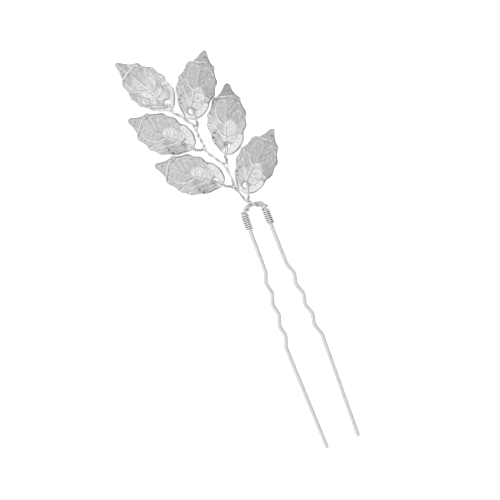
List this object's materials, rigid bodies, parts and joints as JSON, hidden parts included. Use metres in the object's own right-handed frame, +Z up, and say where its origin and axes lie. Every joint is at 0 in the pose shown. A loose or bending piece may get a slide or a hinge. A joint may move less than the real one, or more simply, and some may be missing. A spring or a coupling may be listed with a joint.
{
  "type": "bridal hairpin",
  "caption": "Two-legged crimped hairpin with a spray of stamped metal leaves on twisted fine wire, bound to its bow.",
  "frame": {"origin": "under the middle of the whole hairpin's box, on the surface that it lies on face up", "axes": "+Y from the pin's tips to the spray, +X to the right seen from above, +Z up out of the surface"},
  "size_m": [0.036, 0.1174, 0.0035],
  "materials": {
    "pin_wire": "silver-plated steel wire, satin",
    "fine_wire": "bright silver-plated craft wire",
    "leaf_metal": "silver-plated stamped sheet, fine satin, darker in the dimples"
  },
  "bodies": {
    "root": {"u_pin": "pin_wire", "binding_wire": "fine_wire", "spray_wire": "fine_wire", "leaf_1": "leaf_metal", "leaf_2": "leaf_metal", "leaf_3": "leaf_metal", "leaf_4": "leaf_metal", "leaf_5": "leaf_metal", "leaf_6": "leaf_metal"}
  },
  "joints": []
}
